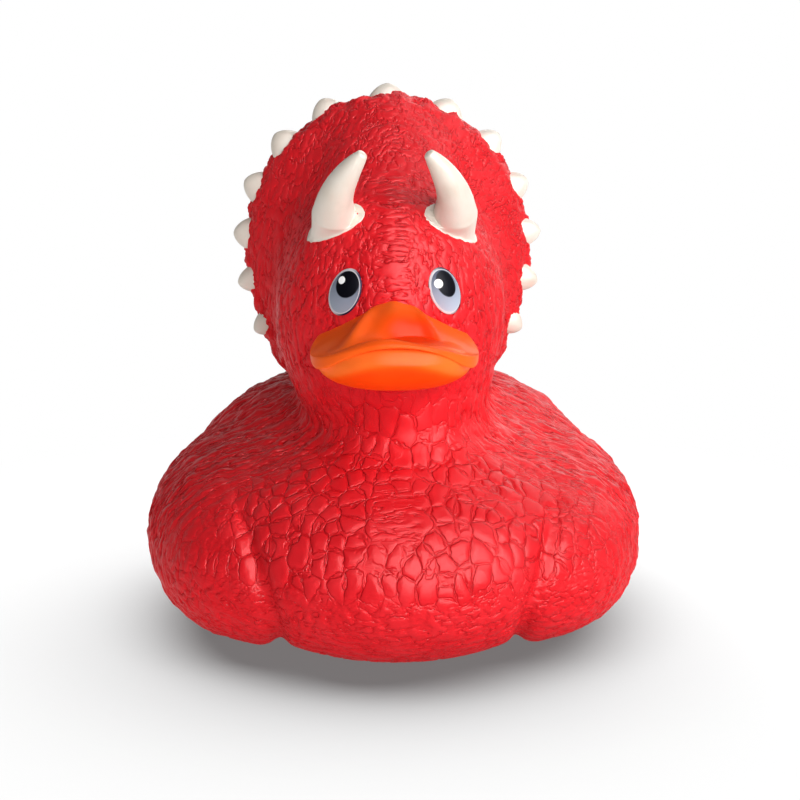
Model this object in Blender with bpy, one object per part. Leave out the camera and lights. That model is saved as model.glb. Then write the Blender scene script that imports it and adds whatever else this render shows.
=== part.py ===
"""Hollow vinyl bath duck whose head wears two brow horns, a round frill and a ring of frill studs.

The duck faces -Y and stands on the plane z = 0, with the origin under the middle of its hull.
It is one moulding with a thin wall. Its skin is a blend of egg shapes and a swept disc, worked
out as a distance field in Geometry Nodes. The bill, the horns, the studs and the eyes are joined
to that skin, then the base is cut flat, the inside is cut away and a vent is cut in the base.
"""
import math

import bmesh
import bpy
from mathutils import Euler, Matrix, Vector

MM = 0.001


def mm(x, y, z):
    return Vector((x, y, z)) * MM


# Moulding
WALL = 2.0 * MM
VENT_DIAMETER = 3.0 * MM
VENT_SIDES = 24
VENT_BACK = 16.0 * MM

# Body: each egg shape is a centre and three radii, and its centre is set out from the shape
# that carries it. The hull dips below the ground, which cuts the flat base.
HULL_WIDTH = 76.0 * MM
HULL_LENGTH = 88.0 * MM
HULL_HEIGHT = 41.8 * MM
HULL_RADII = Vector((HULL_WIDTH, HULL_LENGTH, HULL_HEIGHT)) / 2
HULL_DIP = 3.3 * MM
HULL_CENTRE = Vector((0.0, -2.0 * MM, HULL_RADII.z - HULL_DIP))
RUMP_RADII = mm(33.0, 24.0, 14.5)
RUMP_OVERLAP = 21.0 * MM
RUMP_RISE = 9.6 * MM
RUMP_CENTRE = HULL_CENTRE + Vector((0.0, HULL_RADII.y - RUMP_OVERLAP, RUMP_RISE))
TAIL_RADII = mm(15.0, 15.0, 7.0)
TAIL_LIFT = 40.0
TAIL_CENTRE = RUMP_CENTRE + mm(0.0, 17.0, 15.8)
WING_WIDTH = 40.0 * MM
WING_LENGTH = 74.0 * MM
WING_HEIGHT = 35.4 * MM
WING_RADII = Vector((WING_WIDTH, WING_LENGTH, WING_HEIGHT)) / 2
WING_OVERLAP = 13.0 * MM
WING_CENTRE = HULL_CENTRE + Vector((HULL_RADII.x - WING_OVERLAP, 5.0 * MM, -1.7 * MM))
NECK_RADII = mm(10.6, 15.0, 17.0)
NECK_RISE = 3.5 * MM
NECK_CENTRE = HULL_CENTRE + Vector((1.9 * MM, -4.0 * MM, HULL_RADII.z + NECK_RISE))

# Head: the soft neck carries it a little to one side, and a rounded keel runs down its face
HEAD_WIDTH = 40.0 * MM
HEAD_LENGTH = 40.0 * MM
HEAD_HEIGHT = 49.0 * MM
HEAD_RADII = Vector((HEAD_WIDTH, HEAD_LENGTH, HEAD_HEIGHT)) / 2
HEAD_ASIDE = -2.7 * MM
HEAD_BACK = 2.0 * MM
HEAD_OVERLAP = 25.5 * MM
HEAD_LIFT = NECK_RADII.z - HEAD_OVERLAP + HEAD_RADII.z
HEAD_CENTRE = NECK_CENTRE + Vector((HEAD_ASIDE, HEAD_BACK, HEAD_LIFT))
KEEL_ASIDE = 0.5 * MM
KEEL_HEIGHT = 2.0 * MM
KEEL_WIDTH = 6.5 * MM

# Frill: a disc behind the face that leans back. From its middle it falls back to the top by its
# dish, and further to each side by its sweep and its curl. Its two lower corners are flared.
FRILL_RADIUS = 26.2 * MM
FRILL_THICKNESS = 4.0 * MM
FRILL_LEAN = 15.0
FRILL_DISH = 8.0 * MM
FRILL_SWEEP = 0.62
FRILL_ROUNDING = 4.0 * MM
FRILL_CURL = 6.0 * MM
FRILL_CENTRE = HEAD_CENTRE + mm(0.0, 7.0, 11.8)
CORNER_FLARE = 2.5 * MM
CORNER_DROP = 6.0 * MM
CORNER_REACH = 14.0 * MM

# Ramp: a swelling that fills the corner between the head's top and the frill
RAMP_RADII = mm(9.5, 13.0, 6.0)
RAMP_CENTRE = HEAD_CENTRE + mm(0.2, 6.2, 25.4)
RAMP_LIFT = 34.5

# How softly neighbouring shapes run into each other
BODY_BLEND = 19.0 * MM
TAIL_BLEND = 10.0 * MM
WING_BLEND = 4.0 * MM
NECK_BLEND = 18.0 * MM
THROAT_BLEND = 8.0 * MM
FRILL_BLEND = 12.0 * MM
RAMP_BLEND = 8.0 * MM

# Eyes: shallow bosses that carry the eye paint. On the face a place is two angles on the head's
# egg, across and up from its front, and how far it lies off the egg.
EYE_PLACE = (26.7, 16.7, -0.7 * MM)
EYE_RADII = mm(3.0, 2.0, 4.25)
EYE_YAW = 32.0
EYE_TILT = 17.0

# Horns: a bowed, tapering spike on each side of the brow
HORN_PLACE = (48.8, 45.5, 0.0 * MM)
HORN_REACH = mm(-5.0, -6.7, 14.2)
HORN_ROOT = 6.0 * MM
HORN_ROOT_RADIUS = 2.5 * MM
HORN_BOW = 1.9 * MM
HORN_RADIUS = 4.6 * MM
HORN_TIP_RADIUS = 1.3 * MM
HORN_ROUNDING = 0.1

# Studs: blunt knobs round the rim of the frill, closer together towards its lower corners
STUD_COUNT = 13
STUD_SPAN = 123.0
STUD_CROWDING = 0.9
STUD_RADIUS = 2.9 * MM
STUD_HEIGHT = 2.3 * MM
STUD_ROOT = 2.5 * MM
STUD_SETBACK = 2.0 * MM

# Bill, in mm forward of the head and above its middle. Each half is a section at the middle of
# the head that shrinks to a corner on each side. A point of a section is how far it lies forward,
# its share of the ridge that runs down between the eyes, and how far it lies above the surface
# from that ridge to the lip.
UPPER_HALF_WIDTH = 14.4
UPPER_CORNER = (3.0, -1.5)
UPPER_RIDGE = 7.2
UPPER_LIP = 3.2
UPPER_SECTION = ((-9.0, 1.0, 0.0), (-1.0, 1.0, 0.0), (3.5, 0.85, 0.0), (7.5, 0.55, 0.0),
                 (11.0, 0.25, 0.0), (14.0, 0.05, 0.0), (15.4, 0.0, 0.0), (15.8, 0.0, -0.5),
                 (15.0, 0.0, -0.9), (11.0, 0.0, -1.1), (2.0, 0.0, -1.6), (-9.0, 0.0, -1.6))
RIDGE_ROUNDING = 0.12
LOBE_DEPTH = 5.0
SCOOP_DEPTH = 1.3
SCOOP_FORWARD = 10.5
SCOOP_LENGTH = 3.0
SCOOP_SPREAD = 0.4
LOWER_HALF_WIDTH = 12.9
LOWER_CORNER = (2.5, -3.3)
LOWER_LIP = 2.5
LOWER_SECTION = ((-9.0, 0.0, -1.0), (6.0, 0.0, 0.0), (11.0, 0.0, 0.0), (13.2, 0.0, -1.5),
                 (14.0, 0.0, -3.5), (13.4, 0.0, -5.7), (11.2, 0.0, -7.5), (7.5, 0.0, -8.7),
                 (2.0, 0.0, -9.3), (-9.0, 0.0, -9.3))
BILL_STATION_COUNT = 12
BILL_POINT_COUNT = 18

# How finely the skin and the inside are worked out, and the share of faces that is kept
SKIN_GRID = 1.5 * MM
SKIN_KEEP = 0.15
INSIDE_GRID = 3.0 * MM
INSIDE_KEEP = 0.16
ROOM = 6.0 * MM

COLOURS = {
    "red_vinyl": ((0.62, 0.02, 0.03, 1.0), 0.5),
    "orange_paint": ((0.95, 0.12, 0.01, 1.0), 0.35),
    "cream_paint": ((0.80, 0.74, 0.62, 1.0), 0.45),
    "eye_paint": ((0.50, 0.56, 0.65, 1.0), 0.3),
}


class Field:
    """A number or a vector that varies over space, held as the output of a geometry node."""

    def __init__(self, tree, socket):
        self.tree = tree
        self.socket = socket

    def node(self, kind, operation, inputs, output=0):
        node = self.tree.nodes.new(kind)
        node.operation = operation
        for slot, value in zip(node.inputs, (self, *inputs)):
            if isinstance(value, Field):
                self.tree.links.new(value.socket, slot)
            else:
                slot.default_value = value
        return Field(self.tree, node.outputs[output])

    def maths(self, operation, *inputs):
        return self.node("ShaderNodeMath", operation, inputs)

    def vector(self, operation, *inputs):
        return self.node("ShaderNodeVectorMath", operation, inputs)

    def length(self):
        return self.node("ShaderNodeVectorMath", "LENGTH", (), output=1)

    def __add__(self, other):
        return self.maths("ADD", other)

    def __sub__(self, other):
        return self.maths("SUBTRACT", other)

    def __mul__(self, other):
        return self.maths("MULTIPLY", other)

    def __truediv__(self, other):
        return self.maths("DIVIDE", other)

    def __neg__(self):
        return self * -1.0

    def above(self, other):
        return self.maths("MAXIMUM", other)

    def below(self, other):
        return self.maths("MINIMUM", other)

    def joined(self, other, softness):
        return self.maths("SMOOTH_MIN", other, softness)

    def split(self):
        node = self.tree.nodes.new("ShaderNodeSeparateXYZ")
        self.tree.links.new(self.socket, node.inputs[0])
        return [Field(self.tree, output) for output in node.outputs]


def place_in(tree):
    """The point of space that the field is read at."""
    return Field(tree, tree.nodes.new("GeometryNodeInputPosition").outputs[0])


def place_of(across, depth, up):
    node = across.tree.nodes.new("ShaderNodeCombineXYZ")
    for part, slot in zip((across, depth, up), node.inputs):
        across.tree.links.new(part.socket, slot)
    return Field(across.tree, node.outputs[0])


def mirrored(place):
    """The place folded onto the duck's left half."""
    across, depth, up = place.split()
    return place_of(across.maths("ABSOLUTE"), depth, up)


def turned(place, centre, degrees):
    """The place seen from a frame at the centre that is turned about X."""
    node = place.tree.nodes.new("ShaderNodeVectorRotate")
    node.rotation_type = "X_AXIS"
    place.tree.links.new(place.vector("SUBTRACT", centre).socket, node.inputs["Vector"])
    node.inputs["Angle"].default_value = math.radians(degrees)
    return Field(place.tree, node.outputs[0])


def egg(place, centre, radii):
    """Distance to an ellipsoid, near enough true close to its surface."""
    stretched = place.vector("SUBTRACT", centre).vector("DIVIDE", radii)
    reach = stretched.length() + 1e-4
    slope = stretched.vector("DIVIDE", radii).length() + 1e-3
    return (reach - 1.0) * reach / slope


def on_head(side, across, up, off):
    """A point on the head's egg, or off it, from two angles on the duck's left or right side."""
    across = math.radians(side * across)
    up = math.radians(up)
    spot = Vector((math.sin(across) * math.cos(up), -math.cos(across) * math.cos(up), math.sin(up)))
    spot *= HEAD_RADII
    return HEAD_CENTRE + spot + spot.normalized() * off


def head(place):
    """Distance to the head's egg, which the keel pushes forward down the middle of the face."""
    across, depth, up = place.split()
    aside = (across - (HEAD_CENTRE.x + KEEL_ASIDE)) / KEEL_WIDTH
    keel = (-(aside * aside)).maths("EXPONENT") * KEEL_HEIGHT
    return egg(place_of(across, depth + keel, up), HEAD_CENTRE, HEAD_RADII)


def core(place):
    """Body, neck and head: the shapes that the inside of the moulding follows."""
    hull = egg(place, HULL_CENTRE, HULL_RADII)
    rump = egg(place, RUMP_CENTRE, RUMP_RADII)
    tail = egg(turned(place, TAIL_CENTRE, -TAIL_LIFT), mm(0, 0, 0), TAIL_RADII)
    wings = egg(mirrored(place), WING_CENTRE, WING_RADII)
    neck = egg(place, NECK_CENTRE, NECK_RADII)
    body = hull.joined(rump, BODY_BLEND).joined(tail, TAIL_BLEND).joined(wings, WING_BLEND)
    return body.joined(neck, NECK_BLEND).joined(head(place), THROAT_BLEND)


def frill_depth(across, up, root):
    """How far behind the frill's middle its sheet lies, for numbers or fields and their square root."""
    sweep = (root(across * across + FRILL_ROUNDING ** 2) - FRILL_ROUNDING) * FRILL_SWEEP
    share = across / FRILL_RADIUS
    curl = share * share * share * share * FRILL_CURL
    return sweep + curl + up * up * (FRILL_DISH / FRILL_RADIUS ** 2)


def field_root(field):
    return field.maths("SQRT")


def frill(place):
    """Distance to the sheet, which ends in a round rim."""
    across, depth, up = turned(place, FRILL_CENTRE, FRILL_LEAN).split()
    corner = ((-up - CORNER_DROP) / CORNER_REACH).above(0.0).below(1.0)
    rim = corner * corner * CORNER_FLARE + FRILL_RADIUS
    half = FRILL_THICKNESS / 2
    off_sheet = depth + FRILL_DISH - frill_depth(across, up, field_root)
    off_rim = (field_root(across * across + up * up) - rim + half).above(0.0)
    return field_root(off_sheet * off_sheet + off_rim * off_rim) - half


def skin(place):
    ramp = egg(turned(place, RAMP_CENTRE, -RAMP_LIFT), mm(0, 0, 0), RAMP_RADII)
    return core(place).joined(frill(place), FRILL_BLEND).joined(ramp, RAMP_BLEND)


def inside(place):
    """The core above the ground plane, so that the base gets a wall too."""
    up = place.split()[2]
    return core(place).above(-up)


def reach_of_shapes():
    """The corners of a box that holds every egg and the frill, with some room."""
    tail = max(TAIL_RADII)
    eggs = ((HULL_CENTRE, HULL_RADII), (RUMP_CENTRE, RUMP_RADII), (HEAD_CENTRE, HEAD_RADII),
            (TAIL_CENTRE, Vector((tail, tail, tail))), (WING_CENTRE, WING_RADII),
            (FRILL_CENTRE, Vector((1, 1, 1)) * (FRILL_RADIUS + CORNER_FLARE)))
    margin = Vector((1, 1, 1)) * ROOM
    high = Vector(max(centre[axis] + radii[axis] for centre, radii in eggs) for axis in range(3)) + margin
    low = Vector(min(centre[axis] - radii[axis] for centre, radii in eggs) for axis in range(3)) - margin
    low.x = -high.x
    return low, high


def field_solid(name, shape, inset, grid, keep, material):
    """A closed mesh where the field reaches the inset depth, thinned to the share of faces to keep."""
    tree = bpy.data.node_groups.new(name, "GeometryNodeTree")
    tree.interface.new_socket("Geometry", in_out="INPUT", socket_type="NodeSocketGeometry")
    tree.interface.new_socket("Geometry", in_out="OUTPUT", socket_type="NodeSocketGeometry")
    low, high = reach_of_shapes()
    cube = tree.nodes.new("GeometryNodeVolumeCube")
    cube.inputs["Background"].default_value = -ROOM
    cube.inputs["Min"].default_value = low
    cube.inputs["Max"].default_value = high
    for axis, letter in enumerate("XYZ"):
        cube.inputs["Resolution " + letter].default_value = round((high[axis] - low[axis]) / grid) + 1
    mesher = tree.nodes.new("GeometryNodeVolumeToMesh")
    mesher.resolution_mode = "GRID"
    mesher.inputs["Threshold"].default_value = inset
    painter = tree.nodes.new("GeometryNodeSetMaterial")
    painter.inputs["Material"].default_value = material
    output = tree.nodes.new("NodeGroupOutput")
    tree.links.new((-shape(place_in(tree))).socket, cube.inputs["Density"])
    tree.links.new(cube.outputs[0], mesher.inputs["Volume"])
    tree.links.new(mesher.outputs[0], painter.inputs["Geometry"])
    tree.links.new(painter.outputs[0], output.inputs[0])
    thing = bpy.data.objects.new(name, bpy.data.meshes.new(name))
    thing.modifiers.new("Blend", "NODES").node_group = tree
    thinner = thing.modifiers.new("Thin", "DECIMATE")
    thinner.ratio = keep
    return thing


def object_from(frame, name, material=None):
    bmesh.ops.recalc_face_normals(frame, faces=frame.faces)
    mesh = bpy.data.meshes.new(name)
    frame.to_mesh(mesh)
    frame.free()
    if material:
        mesh.materials.append(material)
    return bpy.data.objects.new(name, mesh)


def bridge(frame, lower, upper):
    for side, corner in enumerate(lower):
        after = (side + 1) % len(lower)
        frame.faces.new((corner, lower[after], upper[after], upper[side]))


def spike(name, path, radii, sides, material):
    """Round sections along a path, closed at both ends."""
    frame = bmesh.new()
    rings = []
    for index, (place, radius) in enumerate(zip(path, radii)):
        start = min(index, len(path) - 2)
        turn = (path[start + 1] - path[start]).to_track_quat("Z", "Y")
        angles = (math.tau * side / sides for side in range(sides))
        spokes = (Vector((math.cos(angle), math.sin(angle), 0.0)) * radius for angle in angles)
        rings.append([frame.verts.new(place + turn @ spoke) for spoke in spokes])
    for lower, upper in zip(rings, rings[1:]):
        bridge(frame, lower, upper)
    frame.faces.new(rings[0])
    frame.faces.new(rings[-1])
    return object_from(frame, name, material)


def make_horn(side, material, rings=8, sides=12):
    foot = on_head(side, *HORN_PLACE)
    tip = foot + Vector((side * HORN_REACH.x, HORN_REACH.y, HORN_REACH.z))
    path = [foot + (HEAD_CENTRE - foot).normalized() * HORN_ROOT]
    radii = [HORN_ROOT_RADIUS]
    for ring in range(rings):
        share = (ring / (rings - 1)) ** 0.8
        bow = Vector((side * HORN_BOW * math.sin(math.pi * share), 0.0, 0.0))
        path.append(foot.lerp(tip, share) + bow)
        past = max(share - 1.0 + HORN_ROUNDING, 0.0) / HORN_ROUNDING
        taper = HORN_RADIUS + (HORN_TIP_RADIUS - HORN_RADIUS) * share
        radii.append(taper * max(math.sqrt(1.0 - past * past), 0.3))
    return spike("horn", path, radii, sides, material)


def stud_turns():
    """The angle of each stud from the top of the frill."""
    half = STUD_COUNT // 2
    for index in range(-half, half + 1):
        yield math.radians(math.copysign(STUD_SPAN * (abs(index) / half) ** STUD_CROWDING, index))


def make_stud(angle, material, rings=4, sides=10):
    drop = -math.cos(angle) * FRILL_RADIUS - CORNER_DROP
    corner = min(max(drop / CORNER_REACH, 0.0), 1.0)
    rim = FRILL_RADIUS + corner * corner * CORNER_FLARE
    sheet = frill_depth(math.sin(angle) * rim, math.cos(angle) * rim, math.sqrt) - FRILL_DISH
    path = [Vector((0.0, sheet + STUD_SETBACK, rim - STUD_ROOT))]
    radii = [STUD_RADIUS]
    for ring in range(rings):
        share = ring / (rings - 1)
        path.append(Vector((0.0, sheet + STUD_SETBACK, rim + share * STUD_HEIGHT)))
        radii.append(STUD_RADIUS * max((1.0 - share ** 1.8) ** 0.6, 0.25))
    stud = spike("stud", path, radii, sides, material)
    lean = Matrix.Rotation(math.radians(-FRILL_LEAN), 4, "X")
    place = Matrix.Translation(FRILL_CENTRE)
    stud.matrix_world = place @ lean @ Matrix.Rotation(angle, 4, "Y")
    return stud


def make_eye(side, material):
    frame = bmesh.new()
    bmesh.ops.create_uvsphere(frame, u_segments=14, v_segments=8, radius=1.0)
    eye = object_from(frame, "eye", material)
    turn = Euler((0.0, math.radians(-side * EYE_TILT), math.radians(side * EYE_YAW)))
    eye.matrix_world = Matrix.LocRotScale(on_head(side, *EYE_PLACE), turn, EYE_RADII)
    return eye


def smooth_loop(points, count):
    """Points spread evenly along a smooth closed curve through the given ones."""
    loop = []
    for step in range(count):
        spot = step * len(points) / count
        first = int(spot)
        t = spot - first
        a, b, c, d = (Vector(points[(first + shift) % len(points)]) for shift in (-1, 0, 1, 2))
        bend = (2 * a - 5 * b + 4 * c - d) * t * t + (3 * b - a - 3 * c + d) * t ** 3
        loop.append((2 * b + (c - a) * t + bend) / 2)
    return loop


def upper_bill_point(aside, forward, ridge, offset):
    """How far forward and up a point goes, at 0 in the middle and 1 at a corner."""
    full = math.sqrt(1.0 - abs(aside) ** 2.4)
    fall = math.hypot(aside, RIDGE_ROUNDING) - RIDGE_ROUNDING
    fall /= math.hypot(1.0, RIDGE_ROUNDING) - RIDGE_ROUNDING
    crest = UPPER_RIDGE + (UPPER_CORNER[1] - UPPER_RIDGE) * fall
    lip = UPPER_CORNER[1] + (UPPER_LIP - UPPER_CORNER[1]) * (1.0 - aside * aside) ** 1.2
    spread = math.exp(-(aside / SCOOP_SPREAD) ** 2 - ((forward - SCOOP_FORWARD) / SCOOP_LENGTH) ** 2)
    scoop = SCOOP_DEPTH * spread * (ridge > 0.0)
    plan = full if forward > UPPER_CORNER[0] else math.sqrt(1.0 - aside ** 6)
    ahead = UPPER_CORNER[0] + (forward - UPPER_CORNER[0]) * plan
    depth = full * (1.0 + LOBE_DEPTH * aside ** 4)
    return ahead, lip + (crest - lip) * ridge + offset * depth - scoop


def lower_bill_point(aside, forward, ridge, offset):
    full = math.sqrt(1.0 - abs(aside) ** 2.4)
    plan = full if forward > LOWER_CORNER[0] else math.sqrt(1.0 - aside ** 6)
    ahead = LOWER_CORNER[0] + (forward - LOWER_CORNER[0]) * plan
    return ahead, LOWER_CORNER[1] + (LOWER_LIP - LOWER_CORNER[1] + offset) * full


def make_bill(section, corner, half_width, point_at, material):
    """One half of the bill as a loft of sections from corner to corner."""
    root = HEAD_CENTRE + Vector((0.0, -HEAD_RADII.y, 0.0))
    loop = smooth_loop(section, BILL_POINT_COUNT)
    frame = bmesh.new()
    rings = []
    for station in range(1, BILL_STATION_COUNT):
        aside = -math.cos(math.pi * station / BILL_STATION_COUNT)
        spots = (point_at(aside, *point) for point in loop)
        places = (root + mm(aside * half_width, -forward, up) for forward, up in spots)
        rings.append([frame.verts.new(place) for place in places])
    for lower, upper in zip(rings, rings[1:]):
        bridge(frame, lower, upper)
    for side, ring in ((-1, rings[0]), (1, rings[-1])):
        tip = frame.verts.new(root + mm(side * half_width, -corner[0], corner[1]))
        for index, spot in enumerate(ring):
            frame.faces.new((spot, ring[(index + 1) % len(ring)], tip))
    return object_from(frame, "bill", material)


def paint(name):
    colour, roughness = COLOURS[name]
    material = bpy.data.materials.new(name)
    material.use_nodes = True
    shader = material.node_tree.nodes["Principled BSDF"]
    shader.inputs["Base Color"].default_value = colour
    shader.inputs["Roughness"].default_value = roughness
    material.diffuse_color = colour
    return material


def make_ground():
    """A block under the plane that the duck stands on."""
    low, high = reach_of_shapes()
    frame = bmesh.new()
    bmesh.ops.create_cube(frame, size=1.0)
    ground = object_from(frame, "ground")
    depth = ROOM + high.z
    ground.matrix_world = Matrix.LocRotScale(
        Vector((0.0, 0.0, -depth / 2)), None, Vector((2 * high.x, 2 * max(high.y, -low.y), depth)))
    return ground


def make_vent():
    frame = bmesh.new()
    radius = VENT_DIAMETER / 2
    bmesh.ops.create_cone(frame, cap_ends=True, segments=VENT_SIDES, radius1=radius, radius2=radius,
                          depth=4 * WALL)
    vent = object_from(frame, "vent")
    vent.matrix_world = Matrix.Translation((0.0, HULL_CENTRE.y + VENT_BACK, 0.0))
    return vent


def collection(name):
    group = bpy.data.collections.new(name)
    bpy.context.scene.collection.children.link(group)
    return group


def add_guide(group, thing):
    group.objects.link(thing)
    thing.hide_render = True
    thing.display_type = "WIRE"


def cut(target, operation, tool):
    modifier = target.modifiers.new(tool.name, "BOOLEAN")
    modifier.operation = operation
    modifier.solver = "EXACT"
    modifier.material_mode = "TRANSFER"
    if isinstance(tool, bpy.types.Collection):
        modifier.operand_type = "COLLECTION"
        modifier.collection = tool
    else:
        modifier.object = tool


def build():
    for old in list(bpy.data.objects):
        bpy.data.objects.remove(old, do_unlink=True)
    paints = {name: paint(name) for name in COLOURS}
    parts = collection("Rubber duck")
    fittings = collection("Fittings")
    cutters = collection("Cutters")

    for side in (-1, 1):
        add_guide(fittings, make_horn(side, paints["cream_paint"]))
        add_guide(fittings, make_eye(side, paints["eye_paint"]))
    for angle in stud_turns():
        add_guide(fittings, make_stud(angle, paints["cream_paint"]))
    orange = paints["orange_paint"]
    add_guide(fittings, make_bill(UPPER_SECTION, UPPER_CORNER, UPPER_HALF_WIDTH, upper_bill_point, orange))
    add_guide(fittings, make_bill(LOWER_SECTION, LOWER_CORNER, LOWER_HALF_WIDTH, lower_bill_point, orange))

    duck = field_solid("duck", skin, 0.0, SKIN_GRID, SKIN_KEEP, paints["red_vinyl"])
    parts.objects.link(duck)
    cut(duck, "UNION", fittings)
    hollow = field_solid("hollow", inside, WALL, INSIDE_GRID, INSIDE_KEEP, paints["red_vinyl"])
    for tool in (make_ground(), hollow, make_vent()):
        add_guide(cutters, tool)
        cut(duck, "DIFFERENCE", tool)


build()
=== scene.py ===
# %% [markdown]
# # A vinyl bath duck in dinosaur dress
#
# The real duck is one hollow moulding of soft red vinyl. Its mould was cut all over with
# scales and wrinkles, and the bill, horns, frill studs and eyes were painted on afterwards.
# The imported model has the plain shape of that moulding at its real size. This lesson dresses
# it: a skin with its scales, then one smooth piece for each painted part.
#
# Everything is in metres. The duck faces -Y and stands on the plane z = 0. The script starts
# from an empty scene, because whatever else stands there would count as part of the duck.

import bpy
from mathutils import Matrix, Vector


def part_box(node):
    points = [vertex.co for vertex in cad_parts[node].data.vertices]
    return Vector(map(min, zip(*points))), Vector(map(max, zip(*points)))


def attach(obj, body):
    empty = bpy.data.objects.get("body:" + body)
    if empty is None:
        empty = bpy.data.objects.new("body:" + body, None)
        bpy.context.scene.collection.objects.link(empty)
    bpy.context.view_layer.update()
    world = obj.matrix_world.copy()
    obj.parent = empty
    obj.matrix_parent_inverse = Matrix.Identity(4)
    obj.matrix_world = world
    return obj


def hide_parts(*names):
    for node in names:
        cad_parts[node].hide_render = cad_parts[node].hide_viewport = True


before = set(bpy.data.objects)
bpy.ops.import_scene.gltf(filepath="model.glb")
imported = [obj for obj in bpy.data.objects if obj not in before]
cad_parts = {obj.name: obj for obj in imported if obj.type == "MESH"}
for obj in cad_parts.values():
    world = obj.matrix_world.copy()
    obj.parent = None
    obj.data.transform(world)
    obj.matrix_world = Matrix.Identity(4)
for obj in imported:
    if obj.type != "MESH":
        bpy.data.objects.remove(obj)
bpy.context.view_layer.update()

# %% Blender's modules, the unit and two small helpers
import math

import bmesh
import bpy
from mathutils import Matrix, Vector
from mathutils.bvhtree import BVHTree

MM = 0.001


def mm(x, y, z):
    return Vector((x, y, z)) * MM


def rounded(values):
    return [round(value, 4) for value in values]


def added(name, data):
    """A new object in the scene, at the origin."""
    thing = bpy.data.objects.new(name, data)
    bpy.context.scene.collection.objects.link(thing)
    return thing


# %% [markdown]
# ## Camera
#
# The photograph looks slightly down on the duck's face, from a little to its right. A long
# lens at half a metre gives the same mild perspective. Framing comes first, because every
# later choice is judged through it.

# %% Place the camera
CAMERA_AIM = mm(1.1, 0.0, 40.8)
CAMERA_TURN = -2.0
CAMERA_HEIGHT = 15.0
CAMERA_DISTANCE = 0.5
CAMERA_LENS = 123.75


def orbit(aim, turn, height, distance):
    """A point that far from the aim, turned from the front and raised, in degrees."""
    turn = math.radians(turn)
    height = math.radians(height)
    level = distance * math.cos(height)
    return aim + Vector((level * math.sin(turn), -level * math.cos(turn), distance * math.sin(height)))


def look_at(thing, aim):
    thing.rotation_euler = (aim - thing.location).to_track_quat("-Z", "Y").to_euler()


camera = added("camera", bpy.data.cameras.new("camera"))
camera.location = orbit(CAMERA_AIM, CAMERA_TURN, CAMERA_HEIGHT, CAMERA_DISTANCE)
look_at(camera, CAMERA_AIM)
camera.data.lens = CAMERA_LENS
bpy.context.scene.camera = camera
print("camera at", rounded(camera.location))

# %% [markdown]
# ## Arithmetic on fields
#
# The skin is worked out as a distance field, and its scales as a pattern of heights. Both are
# formulas made of nodes. Wiring dozens of nodes by hand is hard to read, so a small class
# wraps a node's output and lets Python's own signs make the next node. The same formulas then
# serve a Geometry Nodes tree, which shapes the mesh, and a shader, which lights its finest lines.

# %% Add a node with its settings and inputs
def add(tree, kind, inputs=None, **settings):
    """Adds a node. Each input, by name or number, is linked to a field or output, or else set."""
    node = tree.nodes.new(kind)
    for setting, value in settings.items():
        setattr(node, setting, value)
    for slot, value in (inputs or {}).items():
        value = getattr(value, "socket", value)
        if isinstance(value, bpy.types.NodeSocket):
            tree.links.new(value, node.inputs[slot])
        else:
            node.inputs[slot].default_value = value
    return node


# %% A value that varies over space
class Field:
    """An output of a node, with arithmetic that adds further nodes to its tree."""

    def __init__(self, tree, socket):
        self.tree = tree
        self.socket = socket

    def node(self, kind, *inputs, named=None, output=0, **settings):
        """Adds a node that reads this field first, and gives one of its outputs."""
        slots = {**dict(enumerate((self, *inputs))), **(named or {})}
        return Field(self.tree, add(self.tree, kind, slots, **settings).outputs[output])

    def maths(self, operation, *inputs):
        return self.node("ShaderNodeMath", *inputs, operation=operation)

    def vector(self, operation, *inputs):
        return self.node("ShaderNodeVectorMath", *inputs, operation=operation)

    def scaled(self, factor):
        return self.node("ShaderNodeVectorMath", named={"Scale": factor}, operation="SCALE")

    def __add__(self, other):
        return self.maths("ADD", other)

    def __sub__(self, other):
        return self.maths("SUBTRACT", other)

    def __mul__(self, other):
        return self.maths("MULTIPLY", other)

    def __truediv__(self, other):
        return self.maths("DIVIDE", other)

    def __neg__(self):
        return self * -1.0

    def above(self, other):
        return self.maths("MAXIMUM", other)

    def below(self, other):
        return self.maths("MINIMUM", other)

    def joined(self, other, softness):
        return self.maths("SMOOTH_MIN", other, softness)

    def bell(self):
        """1 where this field is 0, falling away softly on both sides."""
        return (-(self * self)).maths("EXPONENT")

    def length(self):
        return self.node("ShaderNodeVectorMath", operation="LENGTH", output=1)

    def split(self):
        node = add(self.tree, "ShaderNodeSeparateXYZ", {0: self})
        return [Field(self.tree, output) for output in node.outputs]

    def rise(self, start, end):
        """A soft step from 0 at the start to 1 at the end, which may lie lower."""
        ends = {"From Min": start, "From Max": end}
        return self.node("ShaderNodeMapRange", named=ends, interpolation_type="SMOOTHSTEP")

    def mixed(self, other, share):
        """This field where the share is 0, and the other where it is 1."""
        return self + (other - self) * share


# %% Fields that a tree starts from, and fields made of several
def source(tree, kind, output=0):
    """A field that a node gives by itself, such as the position."""
    return Field(tree, tree.nodes.new(kind).outputs[output])


def given_to(tree):
    """A group's inputs as fields, by name."""
    return {socket.name: Field(tree, socket) for socket in tree.nodes.new("NodeGroupInput").outputs}


def vector_of(x, y, z):
    return Field(x.tree, add(x.tree, "ShaderNodeCombineXYZ", {0: x, 1: y, 2: z}).outputs[0])


def hypotenuse(x, y):
    return (x * x + y * y).maths("SQRT")


# %% [markdown]
# ## The shape of the moulding
#
# Hull, rump, tail, wings, neck and head are egg shapes that melt into each other. The frill
# is a round sheet behind the face. It sweeps back on both sides, its two lower corners flare,
# and a ramp fills the angle between it and the top of the head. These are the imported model's
# own sizes. Such a body could be sculpted by hand, but a field gives soft joins of a chosen
# softness, and the mesh can be as fine as the scales need.

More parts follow.
